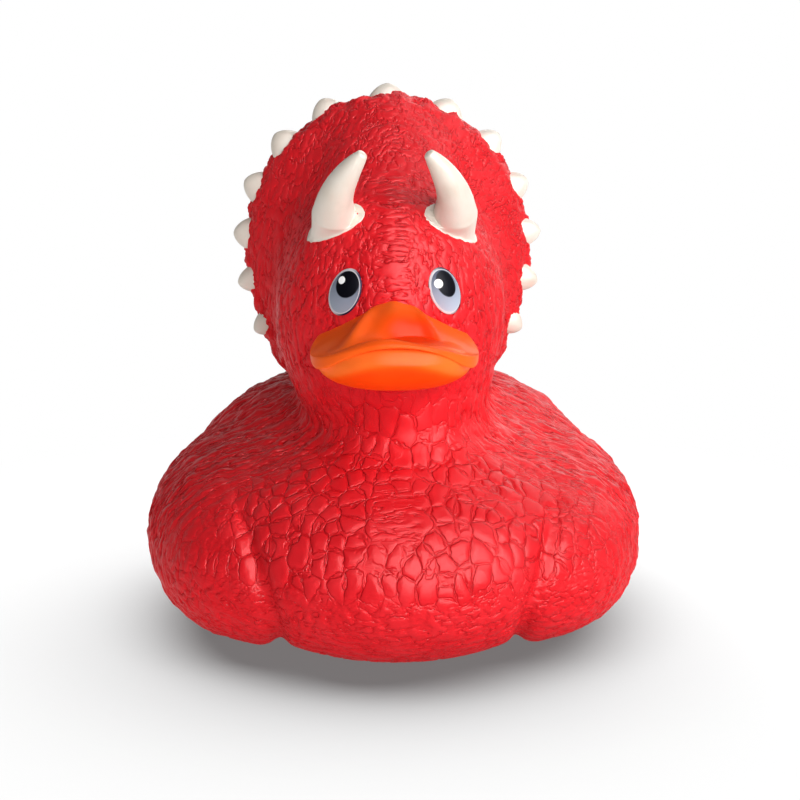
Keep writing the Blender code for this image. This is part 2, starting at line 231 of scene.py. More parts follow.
# %% Sizes of the body
HULL_RADII = mm(76.0, 88.0, 41.8) / 2
HULL_CENTRE = Vector((0.0, -2.0 * MM, HULL_RADII.z - 3.3 * MM))
RUMP_RADII = mm(33.0, 24.0, 14.5)
RUMP_CENTRE = HULL_CENTRE + mm(0.0, 23.0, 9.6)
TAIL_RADII = mm(15.0, 15.0, 7.0)
TAIL_CENTRE = RUMP_CENTRE + mm(0.0, 17.0, 15.8)
TAIL_LIFT = 40.0
WING_RADII = mm(40.0, 74.0, 35.4) / 2
WING_CENTRE = HULL_CENTRE + mm(25.0, 5.0, -1.7)
NECK_RADII = mm(10.6, 15.0, 17.0)
NECK_CENTRE = HULL_CENTRE + mm(1.9, -4.0, 24.4)
BODY_BLEND = 19.0 * MM
TAIL_BLEND = 10.0 * MM
WING_BLEND = 4.0 * MM
NECK_BLEND = 18.0 * MM
print("hull's middle", rounded(HULL_CENTRE), "neck's middle", rounded(NECK_CENTRE))

# %% Sizes of the head and the frill
HEAD_RADII = mm(40.0, 40.0, 49.0) / 2
HEAD_CENTRE = NECK_CENTRE + mm(-2.7, 2.0, 16.0)
THROAT_BLEND = 8.0 * MM
KEEL_HEIGHT = 2.0 * MM
KEEL_WIDTH = 6.5 * MM
FACE_ASIDE = mm(0.5, 0.0, 0.0)
RAMP_CENTRE = HEAD_CENTRE + mm(0.2, 6.2, 25.4)
RAMP_RADII = mm(9.5, 13.0, 6.0)
RAMP_LIFT = 34.5
RAMP_BLEND = 8.0 * MM
FRILL_CENTRE = HEAD_CENTRE + mm(0.0, 7.0, 11.8)
FRILL_RADIUS = 26.2 * MM
FRILL_THICKNESS = 4.0 * MM
FRILL_LEAN = 15.0
FRILL_DISH = 8.0 * MM
FRILL_SWEEP = 0.62
FRILL_ROUNDING = 4.0 * MM
FRILL_CURL = 6.0 * MM
FRILL_BLEND = 12.0 * MM
CORNER_FLARE = 2.5 * MM
CORNER_DROP = 6.0 * MM
CORNER_REACH = 14.0 * MM
print("head's middle", rounded(HEAD_CENTRE), "frill's middle", rounded(FRILL_CENTRE))


# %% Eggs, and places seen from elsewhere
def egg(place, centre, radii):
    """Distance to an ellipsoid, near enough true close to its surface."""
    stretched = place.vector("SUBTRACT", centre).vector("DIVIDE", radii)
    reach = stretched.length() + 1e-4
    slope = stretched.vector("DIVIDE", radii).length() + 1e-3
    return (reach - 1.0) * reach / slope


def turned(place, centre, degrees):
    """The place seen from a frame at the centre that is turned about X."""
    angle = {"Angle": math.radians(degrees)}
    from_centre = place.vector("SUBTRACT", centre)
    return from_centre.node("ShaderNodeVectorRotate", named=angle, rotation_type="X_AXIS")


def mirrored(place):
    """The place folded onto the duck's left half."""
    across, depth, up = place.split()
    return vector_of(across.maths("ABSOLUTE"), depth, up)


# %% The body, neck and head as one field
def wings(place):
    return egg(mirrored(place), WING_CENTRE, WING_RADII)


def head(place):
    """Distance to the head's egg, which a rounded keel pushes forward down the middle of the face."""
    across, depth, up = place.split()
    keel = ((across - (HEAD_CENTRE.x + FACE_ASIDE.x)) / KEEL_WIDTH).bell() * KEEL_HEIGHT
    return egg(vector_of(across, depth + keel, up), HEAD_CENTRE, HEAD_RADII)


def body(place):
    hull = egg(place, HULL_CENTRE, HULL_RADII)
    rump = egg(place, RUMP_CENTRE, RUMP_RADII)
    tail = egg(turned(place, TAIL_CENTRE, -TAIL_LIFT), mm(0, 0, 0), TAIL_RADII)
    neck = egg(place, NECK_CENTRE, NECK_RADII)
    trunk = hull.joined(rump, BODY_BLEND).joined(tail, TAIL_BLEND).joined(wings(place), WING_BLEND)
    return trunk.joined(neck, NECK_BLEND).joined(head(place), THROAT_BLEND)


# %% The frill and the whole skin
def frill_depth(across, up):
    """How far back the frill's sheet lies from the front of its middle: it falls away to each side."""
    sweep = ((across * across + FRILL_ROUNDING ** 2).maths("SQRT") - FRILL_ROUNDING) * FRILL_SWEEP
    share = across / FRILL_RADIUS
    curl = share * share * share * share * FRILL_CURL
    return sweep + curl + up * up * (FRILL_DISH / FRILL_RADIUS ** 2)


def frill(place):
    """Distance to the sheet, which ends in a round rim with two flared lower corners."""
    across, depth, up = turned(place, FRILL_CENTRE, FRILL_LEAN).split()
    corner = ((-up - CORNER_DROP) / CORNER_REACH).above(0.0).below(1.0)
    rim = corner * corner * CORNER_FLARE + FRILL_RADIUS
    half = FRILL_THICKNESS / 2
    off_sheet = depth + FRILL_DISH - frill_depth(across, up)
    off_rim = (hypotenuse(across, up) - rim + half).above(0.0)
    return hypotenuse(off_sheet, off_rim) - half


def moulding(place):
    """The whole skin, cut off flat at the ground."""
    ramp = egg(turned(place, RAMP_CENTRE, -RAMP_LIFT), mm(0, 0, 0), RAMP_RADII)
    skin = body(place).joined(frill(place), FRILL_BLEND).joined(ramp, RAMP_BLEND)
    return skin.above(-place.split()[2])


# %% [markdown]
# ## Scales and wrinkles
#
# Each part of the real skin has its own relief. Breast and neck have swollen plates with
# narrow channels between them, like cracked mud, and the wings have the same plates, but
# shallower. The belly is leathery, and the back has fine streaks. The cheeks have upright
# wrinkles with a low fold at their edge, the forehead and throat a ladder of creases, and
# the frill a lumpy, notched rim. A groove parts the breast from each wing.
#
# A relief painted by hand could follow the photograph line by line, but rules cover all sides
# alike and stay sharp at any size. Voronoi cells give the plates: the distance to the nearest
# border is 0 in a channel and grows towards the middle, so a soft step of it makes a swollen
# plate. A noise gives the wrinkles, which run where it passes its middle value. Every pattern
# is a height in metres, and masks that depend on the place choose between them.

# %% Noise, places that stray, and cells
STRAY_DETAIL = 1.0


def noise(place, size, detail=2.0):
    return place.node("ShaderNodeTexNoise", named={"Scale": 1.0 / size, "Detail": detail})


def strayed(place, size, reach):
    """The place moved about by a noise, so that what is drawn there bends."""
    settings = {"Scale": 1.0 / size, "Detail": STRAY_DETAIL}
    stray = place.node("ShaderNodeTexNoise", named=settings, output=1)
    stray = stray.vector("SUBTRACT", (0.5, 0.5, 0.5)).vector("MULTIPLY", (reach, reach, reach))
    return place.vector("ADD", stray)


def cell_border(place, size, randomness):
    """How far, in metres, the nearest border lies in a pattern of cells of that size."""
    scale = {"Scale": 1.0 / size, "Randomness": randomness}
    return place.node("ShaderNodeTexVoronoi", named=scale, feature="DISTANCE_TO_EDGE") * size


# %% Channels: a pair of numbers is where a soft step starts and ends
CHANNEL_DEPTH = 0.16 * MM
CHANNEL_EDGE = (0.21 * MM, 0.02 * MM)
CHANNEL_APART = 0.40 * MM
CHANNEL_DOUBLES = (0.42, 0.66)
CHANNEL_STARTS = (0.26, 0.36)


def channel(border, wander):
    """A narrow channel along each cell's edge: two lie side by side where the noise is high."""
    away = (border - wander.rise(*CHANNEL_DOUBLES) * CHANNEL_APART).maths("ABSOLUTE")
    return away.rise(*CHANNEL_EDGE) * wander.rise(*CHANNEL_STARTS) * -CHANNEL_DEPTH


# %% Wrinkles
WRINKLE_BEND = (3.0 * MM, 1.0 * MM)
WRINKLE_SWELL = 0.14 * MM
WRINKLE_SIDES = (0.0, 0.13)
WRINKLE_DEPTH = 0.13 * MM
WRINKLE_LINE = (0.05, 0.0)
WRINKLE_BREAK_SIZE = 2.5 * MM
WRINKLE_BREAKS = (0.38, 0.55)


def wrinkles(place, stretch, size):
    """Winding wrinkles, drawn out along the axis with the smallest number: swelling and lines."""
    bent = strayed(place, *WRINKLE_BEND).vector("MULTIPLY", stretch)
    away = (noise(bent, size) - 0.5).maths("ABSOLUTE")
    broken = noise(place, WRINKLE_BREAK_SIZE).rise(*WRINKLE_BREAKS)
    lines = away.rise(*WRINKLE_LINE) * broken * -WRINKLE_DEPTH
    return away.rise(*WRINKLE_SIDES) * WRINKLE_SWELL, lines


# %% Plates of breast, neck and wings
PLATE_SIZE = 3.6 * MM
PLATE_STRETCH = (1.15, 1.0, 0.78)
PLATE_RANDOMNESS = 0.7
PLATE_WANDER = (9.0 * MM, 2.5 * MM)
PLATE_JITTER = (2.2 * MM, 0.9 * MM)
PLATE_EDGE = 0.9 * MM
PLATE_SWELL = 0.20 * MM
PLATE_LINE_SIZE = 3.0 * MM
TERRACE_HEIGHT = 0.06 * MM
TERRACE_EDGE = (0.65 * MM, 0.8 * MM)
TERRACE_SIZE = 4.0 * MM
TERRACE_STARTS = (0.5, 0.55)
PATCH_SIZE = 9.0 * MM
PATCH_EDGE = (0.36, 0.46)
PATCH_SWELL = 0.3
PATCH_LINES = 0.5


def plates(place):
    """Swollen plates, some with a second, inner outline, that fade in patches."""
    bent = strayed(strayed(place, *PLATE_WANDER), *PLATE_JITTER)
    border = cell_border(bent.vector("MULTIPLY", PLATE_STRETCH), PLATE_SIZE, PLATE_RANDOMNESS)
    rise = (border / PLATE_EDGE).below(1.0)
    dome = rise * (-rise + 2.0)
    inner = border.rise(*TERRACE_EDGE) * noise(place, TERRACE_SIZE).rise(*TERRACE_STARTS)
    patch = noise(place, PATCH_SIZE).rise(*PATCH_EDGE)
    swell = dome * PLATE_SWELL + inner * TERRACE_HEIGHT
    lines = channel(border, noise(place, PLATE_LINE_SIZE))
    return (swell * (patch * PATCH_SWELL + (1.0 - PATCH_SWELL)),
            lines * (patch * PATCH_LINES + (1.0 - PATCH_LINES)))


# %% The frill, whose rim is lumpy and notched
RIM_BAND = 4.0 * MM
LUMP_SIZE = 5.0 * MM
LUMP_DETAIL = 3.0
LUMP_HEIGHT = 0.9 * MM
LUMP_AT_RIM = 0.8
NOTCH_SIZE = 3.0 * MM
NOTCH_DETAIL = 1.0
NOTCH_STEP = 0.09
NOTCH_HEIGHT = 2.5 * MM
NOTCH_EDGE = (FRILL_RADIUS - 1.6 * MM, FRILL_RADIUS - 0.4 * MM)
OUTWARD_WRINKLES = ((1.0, 1.0, 0.4), 1.5 * MM)
OUTWARD_SIDE = (2.0 * MM, 8.0 * MM)


def frill_relief(place, upright):
    """Upright wrinkles on the duck's right, and wrinkles that run outwards on its left."""
    across, depth, up = turned(place, FRILL_CENTRE, FRILL_LEAN).split()
    radial = hypotenuse(across, up)
    around = across.maths("ARCTAN2", up) * FRILL_RADIUS
    near_rim = radial.rise(FRILL_RADIUS - RIM_BAND, FRILL_RADIUS)
    lumps = noise(place, LUMP_SIZE, LUMP_DETAIL) - 0.5
    lumps = lumps * (near_rim * LUMP_AT_RIM + (1.0 - LUMP_AT_RIM))
    steps = noise(place, NOTCH_SIZE, NOTCH_DETAIL).maths("SNAP", NOTCH_STEP) - 0.5
    lumps = lumps * LUMP_HEIGHT + steps * radial.rise(*NOTCH_EDGE) * NOTCH_HEIGHT
    outwards = wrinkles(vector_of(around, depth, radial), *OUTWARD_WRINKLES)
    left = across.rise(*OUTWARD_SIDE)
    swell, lines = (one.mixed(other, left) for one, other in zip(upright, outwards))
    return swell + lumps, lines


# %% The groove between the breast and each wing
GROOVE_ASIDE = 20.9 * MM
GROOVE_BOW = 8.2
GROOVE_WIDTH = 1.5 * MM
GROOVE_DEPTH = 1.2 * MM
GROOVE_TOP = (33.0 * MM, 24.0 * MM)
GROOVE_DEEPENS = (28.0 * MM, 12.0 * MM)
GROOVE_BACK = (-8.0 * MM, -20.0 * MM)
BANK_HEIGHT = 0.35
BANK_SHARPNESS = 0.6
BANK_ASIDE = 1.4


def wing_groove(place):
    """A valley, deepest low down, that bows outwards as it climbs and has a bank on its outer side."""
    across, depth, up = mirrored(place).split()
    away = (across - up * up * GROOVE_BOW - GROOVE_ASIDE) / GROOVE_WIDTH
    valley = (away * BANK_SHARPNESS - BANK_ASIDE).bell() * BANK_HEIGHT - away.bell()
    low = up.rise(*GROOVE_TOP) * (up.rise(*GROOVE_DEEPENS) * 0.5 + 0.5)
    return valley * depth.rise(*GROOVE_BACK) * low * GROOVE_DEPTH


# %% Where each pattern lies: soft steps along an axis, off an egg, or from the head's middle
ON_WING = (1.5 * MM, 0.0)
ON_BACK = (-25.0 * MM, -12.0 * MM)
ON_BELLY = (20.0 * MM, 15.0 * MM)
OFF_HEAD = (1.0 * MM, 3.0 * MM)
RIDGE_HALF = (4.2 * MM, 1.68 * MM)
RIDGE_FRONT = (4.0 * MM, 0.0)
HEAD_FROM = (46.0 * MM, 51.0 * MM)
HEAD_BACK = (32.0 * MM, 26.0 * MM)
THROAT_HALF = (5.0 * MM, 3.0 * MM)
THROAT_FROM = (26.0 * MM, 28.0 * MM)
THROAT_TO = (34.0 * MM, 32.0 * MM)
FOLD_FROM = (46.0 * MM, 50.0 * MM)
FOLD_TO = (74.0 * MM, 66.0 * MM)
FOLD_ASIDE = 19.6 * MM
FOLD_WIDTH = 0.45 * MM
FOLD_HEIGHT = 0.4 * MM
GROUND_FADE = (0.2 * MM, 2.0 * MM)

# %% How each kind of wrinkle is drawn out, with its size, and how strong each pattern is
UPRIGHT = ((1.0, 1.0, 0.45), 1.5 * MM)
LADDER = ((0.35, 1.0, 1.2), 1.5 * MM)
LEATHER = ((0.6, 0.8, 1.0), 1.8 * MM)
STREAKS = ((0.28, 1.3, 0.28), 1.9 * MM)
LEATHER_SWELL = 1.2
LEATHER_LINES = 0.5
BACK_LUMP_SIZE = 4.5 * MM
BACK_LUMPS = 0.9 * MM
WING_STRENGTH = 0.6
BELLY_STRENGTH = 1.5
BACK_STRENGTH = 1.7
HEAD_STRENGTH = 1.2


# %% Draw every pattern once
def patterns(place):
    """For breast, cheeks, ladder, leather, back and frill, a pair of swelling and lines."""
    upright = wrinkles(place, *UPRIGHT)
    ladder = wrinkles(place, *LADDER)
    swell, lines = wrinkles(place, *LEATHER)
    leather = swell * LEATHER_SWELL, lines * LEATHER_LINES
    swell, lines = wrinkles(place, *STREAKS)
    streaks = swell + (noise(place, BACK_LUMP_SIZE) - 0.5) * BACK_LUMPS, lines
    return plates(place), upright, ladder, leather, streaks, frill_relief(place, upright)


# %% Put the patterns in their places
def relief(place):
    """The skin's relief in metres: its swellings, and its narrow channels."""
    across, depth, up = place.vector("SUBTRACT", HEAD_CENTRE).split()
    middle = across.maths("ABSOLUTE")
    across, length, height = place.split()
    on_wing = wings(place).rise(*ON_WING)
    on_ridge = middle.rise(*RIDGE_HALF) * depth.rise(*RIDGE_FRONT)
    on_head = height.rise(*HEAD_FROM) * depth.rise(*HEAD_BACK)
    on_throat = middle.rise(*THROAT_HALF) * height.rise(*THROAT_FROM) * height.rise(*THROAT_TO)
    off_head = head(place).rise(*OFF_HEAD)
    layers = []
    for breast, cheek, ladder, leather, streaks, rim in zip(*patterns(place)):
        trunk = breast.mixed(ladder, on_throat).mixed((breast + leather) * WING_STRENGTH, on_wing)
        trunk = trunk.mixed(leather * BELLY_STRENGTH, height.rise(*ON_BELLY))
        trunk = trunk.mixed(streaks * BACK_STRENGTH, length.rise(*ON_BACK))
        top = (cheek * HEAD_STRENGTH).mixed(ladder * HEAD_STRENGTH, on_ridge).mixed(rim, off_head)
        layers.append(trunk.mixed(top, on_head) * height.rise(*GROUND_FADE))
    swell, lines = layers
    fold = ((middle - FOLD_ASIDE) / FOLD_WIDTH).bell() * height.rise(*FOLD_FROM) * height.rise(*FOLD_TO)
    return swell + wing_groove(place) + fold * FOLD_HEIGHT, lines


# %% [markdown]
# ## From field to mesh
#
# A Geometry Nodes tree fills a box with the field, takes the surface where the distance is 0,
# and then moves every point along its normal by the relief. Doing the relief after the
# surface keeps the volume coarse enough to be quick. The mesh is thinned afterwards, which
# leaves the points where the relief bends and removes them where it is plain.

# %% A tree's own inputs, and how it ends
def opened(tree, **kinds):
    """Gives a Geometry Nodes tree its inputs, and returns their identifiers by name."""
    face = tree.interface
    face.new_socket("Geometry", in_out="INPUT", socket_type="NodeSocketGeometry")
    made = {name: face.new_socket(name, in_out="INPUT", socket_type="NodeSocket" + kind)
            for name, kind in kinds.items()}
    face.new_socket("Geometry", in_out="OUTPUT", socket_type="NodeSocketGeometry")
    return {name: socket.identifier for name, socket in made.items()}


def closed(tree, shape, material):
    """Ends the tree in plain geometry with its material on."""
    real = add(tree, "GeometryNodeRealizeInstances", {0: shape})
    painted = add(tree, "GeometryNodeSetMaterial", {"Geometry": real.outputs[0], "Material": material})
    add(tree, "NodeGroupOutput", {0: painted.outputs[0]})
    print(tree.name, "has", len(tree.nodes), "nodes")


# %% The tree that makes the skin
SKIN_GRID = 0.4 * MM
SKIN_KEEP = 0.41
SKIN_LINES = 0.4
ROOM = mm(4.0, 4.0, 4.0)


def skin_tree(material):
    """A tree with its grid size and its relief's strength as inputs."""
    tree = bpy.data.node_groups.new("Duck skin", "GeometryNodeTree")
    sockets = opened(tree, Grid="Float", Relief="Float")
    given = given_to(tree)
    low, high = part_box("duck")
    low, high = low - ROOM, high + ROOM
    box = {"Background": -ROOM.x, "Min": low, "Max": high}
    for axis, letter in enumerate("XYZ"):
        steps = (given["Grid"] / (high[axis] - low[axis])).maths("POWER", -1.0)
        box["Resolution " + letter] = steps
    place = source(tree, "GeometryNodeInputPosition")
    cube = add(tree, "GeometryNodeVolumeCube", {"Density": -moulding(place), **box})
    mesher = add(tree, "GeometryNodeVolumeToMesh", {"Volume": cube.outputs[0], "Threshold": 0.0},
                 resolution_mode="GRID")
    swell, lines = relief(place)
    height = (swell + lines * SKIN_LINES) * given["Relief"]
    shift = source(tree, "GeometryNodeInputNormal").scaled(height)
    mover = add(tree, "GeometryNodeSetPosition", {"Geometry": mesher.outputs[0], "Offset": shift})
    closed(tree, mover.outputs[0], material)
    return tree, sockets


# %% Turn a tree into a mesh, and attach a piece to the duck
def grown(name, tree, values):
    """An empty object whose shape comes from the tree, with the tree's inputs set."""
    thing = added(name, bpy.data.meshes.new(name))
    modifier = thing.modifiers.new(name, "NODES")
    modifier.node_group = tree
    for identifier, value in values.items():
        modifier[identifier] = value
    return thing


def as_mesh(thing, name):
    """The evaluated shape as a plain mesh object at the origin, with smooth shading."""
    bpy.context.view_layer.update()
    shape = thing.evaluated_get(bpy.context.evaluated_depsgraph_get())
    mesh = bpy.data.meshes.new_from_object(shape)
    bpy.data.objects.remove(thing, do_unlink=True)
    mesh.shade_smooth()
    return added(name, mesh)


def wear(piece):
    """Attaches a finished piece to the duck's body, and hides the imported duck that it stands in for.
    """
    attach(piece, "root")
    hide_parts("duck")
    print(piece.name, sum(len(face.vertices) - 2 for face in piece.data.polygons), "triangles")


# %% [markdown]
# ## Grain that every finish shares
#
# All of the duck came out of one mould, so the same fine unevenness lies under the bare vinyl
# and under the paint. It is one node group: a slow mottle for colour and gloss, and a height
# for the bump. Each material sets how fine it is: the eyes are small, so theirs is finer.

# %% The shared group
GRAIN_SIZE = 0.35 * MM
GRAIN_HEIGHT = 0.012 * MM
MOTTLE_SIZE = 6.0 * MM
MOTTLE_DETAIL = 3.0


def grain_group():
    tree = bpy.data.node_groups.new("Moulded grain", "ShaderNodeTree")
    for name, side, kind in (("Place", "INPUT", "Vector"), ("Fineness", "INPUT", "Float"),
                             ("Mottle", "OUTPUT", "Float"), ("Height", "OUTPUT", "Float")):
        tree.interface.new_socket(name, in_out=side, socket_type="NodeSocket" + kind)
    given = given_to(tree)
    fine = given["Place"].scaled(given["Fineness"])
    height = (noise(fine, GRAIN_SIZE) - 0.5) * GRAIN_HEIGHT
    add(tree, "NodeGroupOutput", {"Mottle": noise(fine, MOTTLE_SIZE, MOTTLE_DETAIL), "Height": height})
    return tree


GRAIN = grain_group()
print(GRAIN.name, "has", len(GRAIN.nodes), "nodes")


# %% A material with its grain in place
def finish(name, fineness=1.0):
    """A new material, the place on the object, and the grain's mottle and height."""
    material = bpy.data.materials.new(name)
    material.use_nodes = True
    tree = material.node_tree
    place = source(tree, "ShaderNodeTexCoord", "Object")
    grain = add(tree, "ShaderNodeGroup", node_tree=GRAIN)
    tree.links.new(place.socket, grain.inputs["Place"])
    grain.inputs["Fineness"].default_value = fineness
    return material, place, Field(tree, grain.outputs["Mottle"]), Field(tree, grain.outputs["Height"])


def feed(material, height, **values):
    """Links fields to the shader's sockets, or sets them, and makes its normal from a height."""
    tree = material.node_tree
    shader = tree.nodes["Principled BSDF"]
    for name, value in values.items():
        slot = shader.inputs[name.replace("_", " ")]
        if isinstance(value, Field):
            tree.links.new(value.socket, slot)
        else:
            slot.default_value = value
    bump = add(tree, "ShaderNodeBump", {"Distance": 1.0, "Height": height})
    tree.links.new(bump.outputs[0], shader.inputs["Normal"])
    print(material.name, "has", len(tree.nodes), "nodes")


def tint(share, *stops):
    """A colour that runs through the stops as the share goes from 0 to 1."""
    node = add(share.tree, "ShaderNodeValToRGB", {0: share})
    ramp = node.color_ramp
    while len(ramp.elements) < len(stops):
        ramp.elements.new(0.5)
    for element, (where, colour) in zip(ramp.elements, stops):
        element.position = where
        element.color = (*colour, 1.0)
    return Field(share.tree, node.outputs[0])


# %% [markdown]
# ## Red vinyl
#
# Vinyl is coloured right through, with a satin skin. The red is made deeper in the channels,
# which is painted shade standing in for the light that bounces about and is lost in them, and a
# slow mottle makes some places a little paler, as where hands have rubbed them. The bump repeats
# the relief's own formula, so its fine lines lie in the mesh's channels.

# %% The skin's material
RED_DEEP = (0.50, 0.004, 0.008)
RED = (0.65, 0.012, 0.018)
RED_PALE = (0.73, 0.028, 0.037)
RED_MIDDLE = 0.28
RED_MOTTLE = 0.6
RED_SHADE_IN_CHANNELS = 0.35
RED_ROUGHNESS = 0.30
RED_ROUGHER = 0.12
RED_SHINE = 0.035
BUMP_SWELL = 0.4


def red_vinyl():
    material, place, mottle, grain = finish("red_vinyl")
    swell, lines = relief(place)
    # Painted shade: the red is made deeper in the channels, where shade falls.
    hollow = lines / -CHANNEL_DEPTH
    share = mottle * RED_MOTTLE - hollow * RED_SHADE_IN_CHANNELS + RED_MIDDLE
    colour = tint(share, (0.0, RED_DEEP), (0.55, RED), (1.0, RED_PALE))
    feed(material, lines + swell * BUMP_SWELL + grain, Base_Color=colour, Specular_IOR_Level=RED_SHINE,
         Roughness=mottle.rise(0.3, 0.7) * RED_ROUGHER + RED_ROUGHNESS)
    return material


# %% Make the skin
tree, sockets = skin_tree(red_vinyl())
skin = grown("skin", tree, {sockets["Grid"]: SKIN_GRID, sockets["Relief"]: 1.0})
thinner = skin.modifiers.new("thin", "DECIMATE")
thinner.ratio = SKIN_KEEP
skin = as_mesh(skin, "duck_skin")
wear(skin)

# %% [markdown]
# ## Bill
#
# The bill is two lips, each a loft of sections from one corner of the mouth to the other. The
# upper one rises to a ridge between the eyes and widens into a lobe on each side. A loft is
# chosen over a field because its edges stay crisp at the lip. Its formula gives the plain
# model's bill too, here with many more sections, a scooped top with two shoulders, and a
# rolled edge.

# %% Sections of the bill: mm forward of the head, share of the ridge's rise, and mm above it
UPPER_HALF_WIDTH = 14.4
UPPER_CORNER = (3.0, -1.5)
UPPER_RIDGE = 7.2
UPPER_LIP = 3.2
UPPER_SECTION = ((-9.0, 1.0, 0.0), (-1.0, 1.0, 0.0), (3.5, 0.85, 0.0), (7.5, 0.55, 0.0),
                 (11.0, 0.25, 0.0), (14.0, 0.05, 0.0), (15.4, 0.0, 0.0), (15.8, 0.0, -0.4),
                 (15.3, 0.0, -1.0), (11.0, 0.0, -1.1), (2.0, 0.0, -1.6), (-9.0, 0.0, -1.6))
LOWER_HALF_WIDTH = 13.2
LOWER_CORNER = (2.5, -3.3)
LOWER_LIP = 2.5
LOWER_SECTION = ((-9.0, 0.0, -1.0), (6.0, 0.0, 0.0), (12.6, 0.0, 0.1), (14.4, 0.0, -0.2),
                 (15.6, 0.0, -0.9), (16.5, 0.0, -2.1), (16.8, 0.0, -3.3), (16.1, 0.0, -4.9),
                 (14.4, 0.0, -6.7), (11.4, 0.0, -8.4), (7.5, 0.0, -9.55), (2.0, 0.0, -10.1),
                 (-9.0, 0.0, -10.1))
BILL_ROOT = HEAD_CENTRE + Vector((0.0, -HEAD_RADII.y, 0.0))
print("bill's root", rounded(BILL_ROOT))

# %% Swellings and hollows on top of the upper lip
# Each is a height in mm, its middle and spread aside as shares of the half width, and its
# middle and spread forward in mm. A shoulder is a height, its place at the root and at the
# lip, and its spread.
SCOOP = (-3.8, 0.20, 0.34, 10.4, 3.2)
LOBE_HOLLOW = (-0.25, 0.80, 0.14, 9.0, 5.0)
LIP_ROLL = (0.7, 0.0, 0.45, 14.4, 1.0)
SHOULDER = (1.3, 0.24, 0.62, 0.10)
SHOULDER_REACH = 14.0
SHOULDER_END = 1.05
SHOULDER_FULLNESS = 0.7


def hill(aside, forward, height, middle, spread, place, length):
    """A smooth hill, or a hollow where its height is negative."""
    return height * math.exp(-((aside - middle) / spread) ** 2 - ((forward - place) / length) ** 2)


def shoulder(aside, forward):
    """A ridge on each side of the scoop, which runs outwards as it runs forward."""
    height, start, end, spread = SHOULDER
    ahead = min(max(forward / SHOULDER_REACH, 0.0), 1.0)
    line = start + (end - start) * ahead
    fade = math.sin(math.pi * min(ahead * SHOULDER_END, 1.0)) ** SHOULDER_FULLNESS
    return height * fade * math.exp(-((aside - line) / spread) ** 2)


def on_upper_lip(aside, forward):
    """What the scoop, its two shoulders, the lobes and the rolled edge add, in mm."""
    alike = shoulder(abs(aside), forward)
    scoop = hill(aside, forward, *SCOOP)
    return alike + scoop + sum(hill(abs(aside), forward, *shape) for shape in (LOBE_HOLLOW, LIP_ROLL))


# %% Where a section's points go
PLAN_FULLNESS = 2.4
ROOT_FULLNESS = 6
RIDGE_ROUNDING = 0.12
LIP_BEND = 1.2
LIP_EDGE = 0.9
LOBE_DEPTH = 5.0


def plan(aside, forward, corner):
    """How full a section is at that place, and how far forward its point goes."""
    full = math.sqrt(1.0 - abs(aside) ** PLAN_FULLNESS)
    share = full if forward > corner[0] else math.sqrt(1.0 - aside ** ROOT_FULLNESS)
    return full, corner[0] + (forward - corner[0]) * share


def upper_bill_point(aside, forward, ridge, offset):
    """How far forward and up a point goes, at 0 in the middle and 1 at a corner."""
    full, ahead = plan(aside, forward, UPPER_CORNER)
    fall = math.hypot(aside, RIDGE_ROUNDING) - RIDGE_ROUNDING
    fall /= math.hypot(1.0, RIDGE_ROUNDING) - RIDGE_ROUNDING
    crest = UPPER_RIDGE + (UPPER_CORNER[1] - UPPER_RIDGE) * fall
    lip = UPPER_CORNER[1] + (UPPER_LIP - UPPER_CORNER[1]) * (1.0 - aside * aside) ** LIP_BEND
    top = on_upper_lip(aside, forward) * min(max((offset + LIP_EDGE) / LIP_EDGE, 0.0), 1.0)
    depth = full * (1.0 + LOBE_DEPTH * aside ** 4)
    return ahead, lip + (crest - lip) * ridge + offset * depth + top


def lower_bill_point(aside, forward, ridge, offset):
    full, ahead = plan(aside, forward, LOWER_CORNER)
    return ahead, LOWER_CORNER[1] + (LOWER_LIP - LOWER_CORNER[1] + offset) * full


# %% Loft helpers
def between(a, b, c, d, t):
    """A point on the way from b to c, on a smooth curve that a and d bend."""
    bend = (2 * a - 5 * b + 4 * c - d) * t * t + (3 * b - a - 3 * c + d) * t ** 3
    return (2 * b + (c - a) * t + bend) / 2


def smooth_loop(points, count):
    """Points spread evenly along a smooth closed curve through the given ones."""
    loop = []
    for step in range(count):
        spot = step * len(points) / count
        first = int(spot)
        four = (Vector(points[(first + shift) % len(points)]) for shift in (-1, 0, 1, 2))
        loop.append(between(*four, spot - first))
    return loop


def loft(name, rings, ends, material):
    """A closed skin over rings of points, with a point to close each end."""
    shape = bmesh.new()
    loops = [[shape.verts.new(spot) for spot in ring] for ring in rings]
    for lower, upper in zip(loops, loops[1:]):
        for side, spot in enumerate(lower):
            after = (side + 1) % len(lower)
            shape.faces.new((spot, lower[after], upper[after], upper[side]))
    for loop, end in zip((loops[0], loops[-1]), ends):
        tip = shape.verts.new(end)
        for side, spot in enumerate(loop):
            shape.faces.new((spot, loop[(side + 1) % len(loop)], tip))
    bmesh.ops.recalc_face_normals(shape, faces=shape.faces)
    mesh = bpy.data.meshes.new(name)
    shape.to_mesh(mesh)
    shape.free()
    mesh.shade_smooth()
    mesh.materials.append(material)
    return added(name, mesh)
